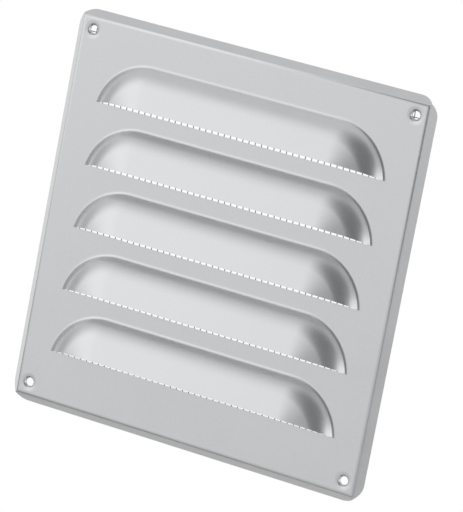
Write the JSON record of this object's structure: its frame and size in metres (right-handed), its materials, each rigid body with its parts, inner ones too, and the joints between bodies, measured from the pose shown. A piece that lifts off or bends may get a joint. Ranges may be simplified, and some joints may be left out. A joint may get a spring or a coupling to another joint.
{
  "type": "louvred sheet metal panel",
  "caption": "Square pressed steel wall panel with hooded louvres, dimpled screw holes, a bent-back rim and insect mesh behind.",
  "frame": {"origin": "middle of the plane that the bent-back rim stands on", "axes": "+X along the louvres, +Y towards their closed side (up on a wall), +Z out of the face"},
  "size_m": [0.2, 0.2, 0.012],
  "materials": {
    "galvanised_sheet": "fine-grained zinc coating, soft sheen",
    "mesh_wire": "dull galvanised wire"
  },
  "bodies": {
    "root": {"louvred_panel": "galvanised_sheet", "wire_mesh": "mesh_wire"}
  },
  "joints": []
}
